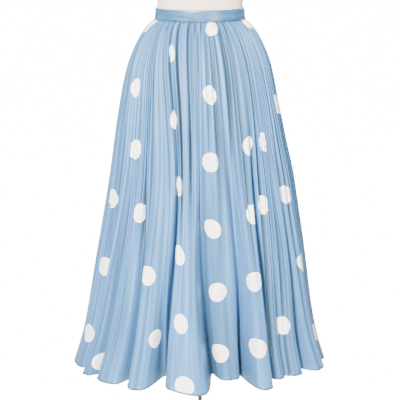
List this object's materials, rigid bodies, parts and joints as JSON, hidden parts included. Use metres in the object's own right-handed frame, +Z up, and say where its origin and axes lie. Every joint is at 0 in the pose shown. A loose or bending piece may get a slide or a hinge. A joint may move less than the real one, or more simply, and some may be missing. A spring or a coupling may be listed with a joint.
{
  "type": "pleated maxi skirt on a dress form",
  "caption": "Full-length flared skirt in crinkle-pleated satin with a plain waistband and concealed back zip, worn by a limbless dress form on a pole stand.",
  "frame": {"origin": "on the floor, under the middle of the whole object, which is the pole's axis", "axes": "+Z up, -Y towards the front of the skirt, +X towards the wearer's left"},
  "size_m": [0.6846, 0.6171, 1.6733],
  "materials": {
    "skirt_satin": "crinkled satin with off-white dots",
    "band_satin": "smooth satin",
    "form_jersey": "cream jersey",
    "stand_brass": "aged, satin",
    "zip_lacquer": "lacquer matched to the cloth"
  },
  "bodies": {
    "dressed_form": {"skirt_front": "skirt_satin", "skirt_back_left": "skirt_satin", "skirt_back_right": "skirt_satin", "waistband": "band_satin", "zip_slider": "zip_lacquer", "form_torso": "form_jersey", "form_neck_cap": "stand_brass", "stand_flange": "stand_brass", "stand_pole": "stand_brass", "stand_base": "stand_brass"},
    "pull": {"zip_pull": "zip_lacquer"}
  },
  "joints": [
    {"name": "zip_pull_swing", "type": "hinge", "parent": "dressed_form", "child": "pull", "pos_m": [0, 0.08764, 1.17111], "axis": [1, 0, 0], "range_deg": [0, 165]}
  ]
}
